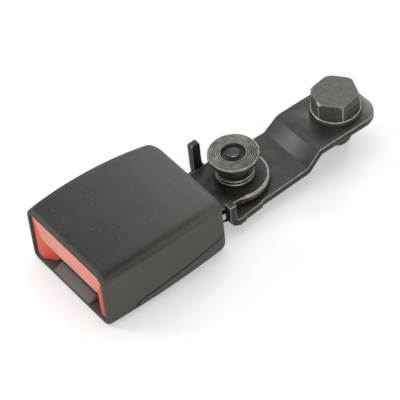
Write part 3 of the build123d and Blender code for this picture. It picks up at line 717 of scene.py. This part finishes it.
# %% Split off the lower cover
cover_front = 12.4
cover_top = 0.2             # height of the joint behind the mouth
cover_rise = 4.0
cover_corner = 2.2
cutter_half = 30.0
joint_width = 0.8
lap_reach = 0.6             # how far the lap runs on beyond the joint


def cover_shape(name, gap):
    """Everything below the parting line, from its front edge to behind the casing."""
    front = mouth_x + cover_front + gap
    made = block(name, (front, -cutter_half, casing_bottom - overrun),
                 (rear_x + overrun, cutter_half, cover_top - gap))
    bpy.ops.object.mode_set(mode="EDIT")
    pick("VERT", lambda at, item: at.x > rear_x and at.z > casing_bottom)
    bpy.ops.transform.translate(value=(0, 0, cover_rise * MM))
    pick("EDGE", lambda at, item: abs(at.x - front) < 0.1 and at.z > casing_bottom + overrun
         and abs(item.verts[0].co.y - item.verts[1].co.y) > 1 * MM)
    bpy.ops.mesh.bevel(offset=cover_corner * MM, segments=6, affect="EDGES")
    bpy.ops.object.mode_set(mode="OBJECT")
    return made


cover_skin = copied(casing_skin)
carve(casing_skin, cover_shape("casing_cut", 0.0), "DIFFERENCE")
carve(cover_skin, cover_shape("cover_keep", joint_width), "INTERSECT")
carve(lap, cover_shape("lap_outside", -lap_reach), "INTERSECT")
carve(lap, cover_shape("lap_inside", joint_width + lap_reach), "DIFFERENCE")
casing_skin.name = "casing_top"
cover_skin.name = "casing_cover"
print("cover faces:", len(cover_skin.data.polygons))

# %% [markdown]
# Inside, ribs hold the steel frame down and two small posts carry the button's springs.
# Each is a moulded block with rounded edges. It is made on one side, copied to the other
# and joined to the wall that it grows from.

# %% Ribs and posts inside
def join_to(piece, parts):
    """Join parts into a piece, as one moulding."""
    choose(piece)
    for part in parts:
        part.select_set(True)
    bpy.ops.object.join()


cover_floor = casing_bottom + wall - 0.2
roof_rib = block("roof_rib", (mouth_x + 36, 12.75, 17.05), (mouth_x + 47, 14.75, 19.6))
floor_rib = block("floor_rib", (mouth_x + 16, 7.7, cover_floor),
                  (mouth_x + 48, 9.3, -0.65))
post = block("spring_post", (mouth_x + 49.6, 15.8, cover_floor),
             (mouth_x + 51.6, 19.0, 12.0))
for part in (roof_rib, floor_rib, post):
    apply_modifier(part, "BEVEL", width=0.3 * MM, segments=2)
join_to(casing_skin, [roof_rib, mirrored(roof_rib)])
join_to(cover_skin, [lap, floor_rib, mirrored(floor_rib), post, mirrored(post)])
hand_over(casing_skin, "buckle", ["upper_casing"], "casing_plastic", casing_finish)
hand_over(cover_skin, "buckle", ["lower_cover"], "casing_plastic", cover_finish)

# %% [markdown]
# ## Push button and tongue guide
# The button is one moulding. Its solid gives the band across the mouth and the arms behind
# it. Its two legs form a funnel that leads the belt's tongue in. Each leg gets a wedge with
# a rounded inner edge, so the funnel narrows in a sweep as on the real button. A painted
# highlight lies only on the band's front, and it ends at each leg on a slanting line.

# %% Push button
button_front = mouth_x + 1.0
funnel_end = mouth_x + 4.8
funnel_step = 5.2           # how much wider the funnel is at its front, on each side
leg_inside, leg_outside = 12.9, 21.9
leg_low, leg_high = -2.9, 8.6
leg_rear = mouth_x + 7.6
funnel_round = 2.2
foot_round = 1.2
band_corner = (17.2, 8.8)   # where the band's painted highlight ends above each leg
band_slant = (0.884, 0.467)
button = merged_copy("release_button", "push_button")
leg = block("button_leg", (button_front, leg_inside, leg_low),
            (leg_rear, leg_outside, leg_high))
bpy.ops.object.mode_set(mode="EDIT")
slice_faces((funnel_end, 0, 0), (1, 0, 0))
pick("VERT", lambda at, item: at.x < button_front + 0.1 and at.y < leg_inside + 0.1)
bpy.ops.transform.translate(value=(0, funnel_step * MM, 0))
pick("EDGE", lambda at, item: abs(at.x - funnel_end) < 0.1 and at.y < leg_inside + 0.1
     and abs(item.verts[0].co.z - item.verts[1].co.z) > 1 * MM)
bpy.ops.mesh.bevel(offset=funnel_round * MM, segments=6, affect="EDGES")
pick("EDGE", lambda at, item: at.z < leg_low + 0.1 and at.y > leg_outside - 0.1)
bpy.ops.mesh.bevel(offset=foot_round * MM, segments=3, affect="EDGES")
bpy.ops.object.mode_set(mode="OBJECT")
for part in (mirrored(leg), leg):
    carve(button, part, "UNION")
bpy.ops.object.mode_set(mode="EDIT")
for side in (-1, 1):
    slice_faces((0, side * band_corner[0], band_corner[1]),
                (0, side * band_slant[0], -band_slant[1]))
bpy.ops.object.mode_set(mode="OBJECT")
round_edges(button, 0.35)
hand_over(button, "button", ["release_button"], "button_plastic", button_finish,
          button_finish, button_front_highlight)
# Painted highlight: the band's front faces take the paler orange.
paint(button, 2, lambda at, normal: normal.x < -0.95 and at.x < button_front + 0.6
      and ((abs(at.y) - band_corner[0]) * band_slant[0]
           < (at.z - band_corner[1]) * band_slant[1]))

# %% [markdown]
# The guide is a block of glass-filled nylon on the casing's floor. A long shallow ramp
# lifts the belt's tongue to the slot. The block is cut once across its top, and its front
# edge is lowered from there.

# %% Tongue guide
guide_half = 11.0
guide_low, guide_high = -3.2, -0.75
ramp_end = mouth_x + 4.0
ramp_drop = 1.9
guide = block("guide_block", (mouth_x + 0.3, -guide_half, guide_low),
              (mouth_x + 11.9, guide_half, guide_high))
bpy.ops.object.mode_set(mode="EDIT")
slice_faces((ramp_end, 0, 0), (1, 0, 0))
pick("VERT", lambda at, item: at.x < mouth_x + 0.5 and at.z > -1.0)
bpy.ops.transform.translate(value=(0, 0, -ramp_drop * MM))
bpy.ops.object.mode_set(mode="OBJECT")
apply_modifier(guide, "BEVEL", width=0.2 * MM, segments=2, limit_method="ANGLE",
               angle_limit=radians(20))
hand_over(guide, "buckle", ["tongue_guide"], "guide_plastic", guide_finish)

# %% [markdown]
# ## Bracket, buckle frame and tail
# These keep the solids' shapes, which are blanked and bent from sheet. A blanked edge is
# short and crisp, and its rounding takes the lighter material, partly rubbed steel and
# partly painted highlight. Inside the casing, where shade falls, the painted highlight
# stops and the edges keep the dark steel. The bracket's taller ear widens towards its
# root, where the sheet was drawn up, so a wedge is joined to it there.

# %% Bracket, buckle frame and tail
sheet_edge = 0.3
root_front, root_rear = rivet_x - 5.8, rivet_x - 2.0
root_low, root_waist, root_high = -4.2, 0.4, 4.6
root_taper = 3.7            # how much narrower the wedge is at its top
waist_taper = 1.0
bracket = merged_copy("anchor_bracket", "joggled_bracket")
root = block("ear_root", (root_front, 13.75, root_low), (root_rear, 16.45, root_high))
bpy.ops.object.mode_set(mode="EDIT")
pick("VERT", lambda at, item: at.x > root_rear - 0.1 and at.z > root_high - 0.6)
bpy.ops.transform.translate(value=(-root_taper * MM, 0, 0))
slice_faces((0, 0, root_waist), (0, 0, 1))
pick("VERT", lambda at, item: at.x > root_front + 0.3 and abs(at.z - root_waist) < 0.1)
bpy.ops.transform.translate(value=(-waist_taper * MM, 0, 0))
bpy.ops.object.mode_set(mode="OBJECT")
carve(bracket, root, "UNION")
round_edges(bracket, sheet_edge)
hand_over(bracket, "anchor", ["anchor_bracket"], "bracket_steel", bracket_finish,
          bracket_edge)
sheet = merged_copy("buckle_frame", "tail_and_frame")
round_edges(sheet, sheet_edge)
hand_over(sheet, "buckle", ["buckle_frame"], "frame_steel", tail_finish, tail_edge)
# Painted highlight: sloping faces of the tail outside the casing take the lighter edge
# steel.
paint(sheet, 1, lambda at, normal: at.x > rivet_x - 12 and 0.2 < normal.z < 0.95)
# Inside the casing, which shades them, all faces take the dark steel and the painted
# highlight stops.
paint(sheet, 0, lambda at, normal: at.x < rear_x + 1)

# %% [markdown]
# ## The swivel rivet
# The rivet is one turned stud: a foot below the bracket, a thin neck, a cone and a wide
# disc with a dish in it. Fine rings were left on the disc by the facing tool. They are
# modelled as shallow grooves along the outline, so they show from every side.

# %% Rivet, washers and spacer
sheet_mm = 3.0
stud_r, foot_r, neck_r, cone_r, head_r = 5.0, 7.4, 5.6, 9.2, 10.0
dish_r, pip_r = 4.75, 2.5
dish_depth = 1.1
groove_depth = 0.12
foot_top = -2.4             # the bracket's upper face below the rivet
stud_bottom = foot_top - sheet_mm
foot_bottom = stud_bottom - 2.6
neck_bottom = floor_top + 2.95
cone_bottom = neck_bottom + 2.4
rim_bottom = cone_bottom + 4.2
head_top = rim_bottom + 2.0
outline = [(foot_r - 1.3, foot_bottom), (foot_r, foot_bottom + 1.3), (foot_r, stud_bottom),
           (stud_r, stud_bottom), (stud_r, neck_bottom), (neck_r, neck_bottom),
           (neck_r, cone_bottom), (cone_r, rim_bottom), (head_r - 0.15, rim_bottom + 0.15),
           (head_r, rim_bottom + 0.45), (head_r, head_top - 0.5),
           (head_r - 0.15, head_top - 0.15), (head_r - 0.5, head_top)]
groove = head_top - groove_depth
ring_radius = ring_start_mm
while ring_radius > dish_r + 0.65:
    outline += [(ring_radius - 0.1, groove), (ring_radius - 0.3, groove),
                (ring_radius - 0.4, head_top)]
    ring_radius -= ring_pitch_mm
dish = head_top - dish_depth
outline += [(dish_r, head_top), (dish_r - 0.25, head_top - 0.3), (dish_r - 0.55, dish),
            (pip_r + 0.25, dish), (pip_r, dish + 0.2), (pip_r, head_top),
            (pip_r - 0.15, head_top + 0.22), (pip_r - 0.4, head_top + 0.28),
            (0.4, head_top + 0.1)]
rivet = turned("swivel_stud", (rivet_x, 0), outline)
hand_over(rivet, "anchor", ["swivel_rivet"], "rivet_steel", rivet_finish, ring_finish,
          dish_finish, rivet_edge)


def from_rivet(at):
    """Distance from the rivet's axis in millimetres."""
    return hypot(at.x - rivet_x, at.y)


rings_in, rings_out = 4.7, 9.6
paint(rivet, 1, lambda at, normal: at.z > head_top - 0.3
      and rings_in < from_rivet(at) < rings_out)
# The dish takes a darker steel.
paint(rivet, 2, lambda at, normal: at.z > dish - 0.2
      and pip_r + 0.05 < from_rivet(at) < rings_in)
# Painted highlight on the disc's rim and the pip's edge.
paint(rivet, 3, lambda at, normal: at.z > rim_bottom and 0.25 < normal.z < 0.97
      and (from_rivet(at) > rings_out or pip_r - 0.3 < from_rivet(at) < pip_r))

# %% [markdown]
# Washers are punched from strip. Their narrow broken edges take the lighter steel as a
# painted highlight.

# %% Washers and spacer
stud_hole = stud_r + 0.05


def washer_outline(outer, inner, bottom, top, edge):
    """Closed outline of a flat ring with broken edges."""
    return [(inner, bottom), (outer - edge, bottom), (outer, bottom + edge),
            (outer, top - edge), (outer - edge, top), (inner, top), (inner, bottom)]


def punched_ring(name, centre_x, outline, body, node, slot, *materials):
    """A ring with its sloping edge faces in its last material."""
    ring = turned(name, (centre_x, 0), outline, ring=True)
    hand_over(ring, body, [node], slot, *materials)
    # Painted highlight: the sloping edge faces take the last material.
    paint(ring, len(materials) - 1, lambda at, normal: 0.3 < abs(normal.z) < 0.95)


punched_ring("wave_ring", rivet_x,
             washer_outline(7.6, stud_hole, floor_top + 0.03, floor_top + 1.37, 0.3),
             "anchor", "wave_washer", "rivet_steel", rivet_finish, rivet_edge)
punched_ring("flat_ring", rivet_x,
             washer_outline(7.4, stud_hole, floor_top + 1.45, floor_top + 2.87, 0.3),
             "anchor", "rivet_washer", "rivet_steel", rivet_finish, rivet_edge)
punched_ring("spacer_ring", rivet_x,
             washer_outline(9.6, stud_hole, foot_top + 0.03, foot_top + 1.77, 0.25),
             "anchor", "swivel_spacer", "guide_plastic", guide_finish)

# %% [markdown]
# ## The anchor bolt
# The bolt is cold headed and its thread is rolled. The hexagon starts as a six-sided
# cylinder. It is cut to the shape that it shares with a turned blank, which gives the
# rounded arcs on its upper corners. The shank below is grown like the rivet, tooth by
# tooth, at the real pitch of 20 threads to the inch.

# %% Hexagon head and threaded shank
across_flats = 17.0
head_height = 7.5
head_turn = -22.0           # degrees that the hexagon stands turned by
rest_gap = 0.05             # keeps stacked pieces from sharing a face
washer_mm = 2.1
head_low = sheet_mm + washer_mm + rest_gap
head_high = head_low + head_height
corner_r = across_flats / sqrt(3)
clear_selection()
bpy.ops.mesh.primitive_cylinder_add(
    vertices=6, radius=corner_r * MM, depth=head_height * MM,
    location=(0, 0, (head_low + head_high) / 2 * MM), rotation=(0, 0, radians(head_turn)))
bolt = bpy.context.object
bolt.name = "hexagon_bolt"
bpy.ops.object.transform_apply(location=True, rotation=True, scale=True)
round_edges(bolt, 0.32)
blank = turned("bolt_blank", (0, 0),
               [(corner_r - 0.35, head_low - 0.01), (corner_r + 0.05, head_low + 0.35),
                (corner_r + 0.05, head_high - 0.85), (8.7, head_high + 0.01)], steps=128)
carve(bolt, blank, "INTERSECT")
thread_pitch = 1.27
thread_r = 5.556
root_r = thread_r - 0.75
shoulder_r = 6.0
thread_end = -11.3
tooth = [(shoulder_r, head_low + 0.05), (shoulder_r, 0.0), (root_r, -0.4)]
height = -0.9
while height > thread_end:
    tooth += [(thread_r, height), (thread_r, height - 0.15),
              (root_r, height - 0.62), (root_r, height - 0.78)]
    height -= thread_pitch
tooth += [(4.6, -11.8), (4.5, -12.2), (4.5, -12.9), (4.2, -13.2)]
shank = turned("bolt_shank", (0, 0), tooth, steps=64)
join_to(bolt, [shank])
hand_over(bolt, "bolt", ["anchor_bolt"], "bolt_steel", bolt_finish, bolt_edge, bolt_corner)
# Painted highlight on the hexagon's rounded corners.
paint(bolt, 1, lambda at, normal: head_low < at.z < head_high and abs(normal.z) < 0.3
      and hypot(at.x, at.y) > 9.3)
# Painted highlight on the chamfer round the hexagon's top.
paint(bolt, 2, lambda at, normal: at.z > head_high - 1.0 and 0.5 < normal.z < 0.97)
punched_ring("bolt_ring", 0,
             washer_outline(9.95, 6.05, sheet_mm + rest_gap, sheet_mm + 2.12, 0.22),
             "bolt", "bolt_washer", "bolt_steel", bolt_finish, bolt_edge)
punched_ring("bush_ring", 0, washer_outline(8.0, 6.08, 0.0, sheet_mm, 0.15),
             "anchor", "bolt_bush", "ejector_plastic", natural_acetal)

# %% [markdown]
# ## Pieces inside the casing
# The latch, its pin and spring, the lock bar and the ejector are already right as solids.
# They keep their meshes, and only their material slots are filled.

# %% Finish the inner pieces
inner = {"ejector": natural_acetal, "latch": plated_finish, "lock_bar": plated_finish,
         "latch_pivot_pin": plated_finish, "latch_spring": spring_finish}
for name, finish in inner.items():
    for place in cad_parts[name].material_slots:
        place.material = finish
print("inner pieces finished:", len(inner))

# %% [markdown]
# Three springs shorten when the button or the ejector slides. Here each coil is a merged
# copy of its solid, shaded smooth, that rides on the buckle.

# %% Spring coils
def pressed_spring(node):
    """A merged copy of a coil, shaded smooth, that rides on the buckle."""
    coil = merged_copy(node, node + "_coil")
    hand_over(coil, "buckle", [node], "spring_steel", spring_finish, angle=80)
    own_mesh(coil)


pressed_spring("button_spring_near")
pressed_spring("button_spring_far")
pressed_spring("ejector_spring")

# %% [markdown]
# ## Floor, light and camera
# The buckle lies on a pale table and touches it with the front of its casing and the tip
# of its bolt, so the table is tilted in the buckle's own frame. A bright even sky stands
# for a light tent.

# %% Floor
table_tilt = 0.066          # drop per length along X
table_z = casing_bottom + table_tilt * mouth_x - 0.06
clear_selection()
bpy.ops.mesh.primitive_plane_add(size=6.0, location=(0, 0, table_z * MM),
                                 rotation=(0, atan2(table_tilt, 1), 0))
floor = bpy.context.object
floor.name = "table"
card, card_shader = new_surface("matt_white_card", Roughness=0.9, Specular_IOR_Level=0.1)
weave = add_node(card, "ShaderNodeTexNoise", {"Scale": per_mm(60.0)})
paper = add_node(card, "ShaderNodeValToRGB", {"Fac": weave.outputs["Fac"]},
                 stops=((0.0, "#e2e2e1"), (1.0, "#e6e6e5")))
seen = add_node(card, "ShaderNodeLightPath")
lift = add_node(card, "ShaderNodeMath", {0: seen.outputs["Is Camera Ray"], 1: 0.32},
                operation="MULTIPLY")
glow = add_node(card, "ShaderNodeEmission", {"Strength": lift.outputs[0]})
both = add_node(card, "ShaderNodeAddShader",
                {0: card_shader.outputs["BSDF"], 1: glow.outputs["Emission"]})
output = card.node_tree.nodes["Material Output"]
plug(card, card_shader, Base_Color=paper.outputs["Color"])
card.node_tree.links.new(both.outputs["Shader"], output.inputs["Surface"])
floor.data.materials.append(card)
print("table height under the bolt, mm:", round(table_z, 2))

# %% [markdown]
# The world lights the object at half strength, yet the camera, mirrors and glass see it at
# full strength as a white tent. Four soft lamps give it form. The overhead lamp is the main
# one, and the front lamp fills the mouth and the near side. The rear lamp puts a sheen on
# the casing's rear end. The slope lamp stands where the bracket's slope mirrors it.

# %% World and lamps
world = bpy.data.worlds.new("light_tent")
bpy.context.scene.world = world
world.use_nodes = True
sky = world.node_tree.nodes["Background"]
sky.inputs["Color"].default_value = (1.0, 1.0, 1.0, 1.0)
rays = add_node(world, "ShaderNodeLightPath")
clear = add_node(world, "ShaderNodeMath",
                 {0: rays.outputs["Is Camera Ray"], 1: rays.outputs["Is Transmission Ray"]},
                 operation="MAXIMUM")
mirror = add_node(world, "ShaderNodeMath",
                  {0: clear.outputs[0], 1: rays.outputs["Is Glossy Ray"]},
                  operation="MAXIMUM")
level = add_node(world, "ShaderNodeMapRange",
                 {"Value": mirror.outputs[0], "To Min": 0.5, "To Max": 1.0})
world.node_tree.links.new(level.outputs["Result"], sky.inputs["Strength"])


def lamp(name, place_mm, target_mm, size_mm, power):
    """A square soft lamp that faces a point."""
    data = bpy.data.lights.new(name, "AREA")
    data.size = size_mm * MM
    data.energy = power
    made = bpy.data.objects.new(name, data)
    bpy.context.scene.collection.objects.link(made)
    made.location = Vector(place_mm) * MM
    aim = (Vector(target_mm) - Vector(place_mm)).to_track_quat("-Z", "Y")
    made.rotation_euler = aim.to_euler()


lamp("overhead", (60, 160, 900), (-60, 0, 0), 700, 2.0)
lamp("front_fill", (-480, -720, 330), (-90, 0, 5), 500, 3.2)
lamp("rear_sheen", (560, 420, 380), (-75, 0, 15), 350, 1.4)
lamp("slope_sheen", (-560, 510, 515), (-22, 0, 0), 220, 1.9)
print("lamps:", [light.name for light in bpy.data.lights])

# %% Camera
camera_data = bpy.data.cameras.new("viewpoint")
camera_data.lens = 216.0
camera_data.sensor_width = 36.0
camera_data.clip_start = 0.05
camera_data.clip_end = 20.0
camera = bpy.data.objects.new("viewpoint", camera_data)
bpy.context.scene.collection.objects.link(camera)
camera.location = Vector((-402.44, -519.65, 664.25)) * MM
camera.rotation_euler = (radians(42.741), radians(4.744), radians(-37.934))
bpy.context.scene.camera = camera
bpy.context.scene.view_settings.view_transform = "Standard"
print("camera distance, mm:", round(camera.location.length / MM))
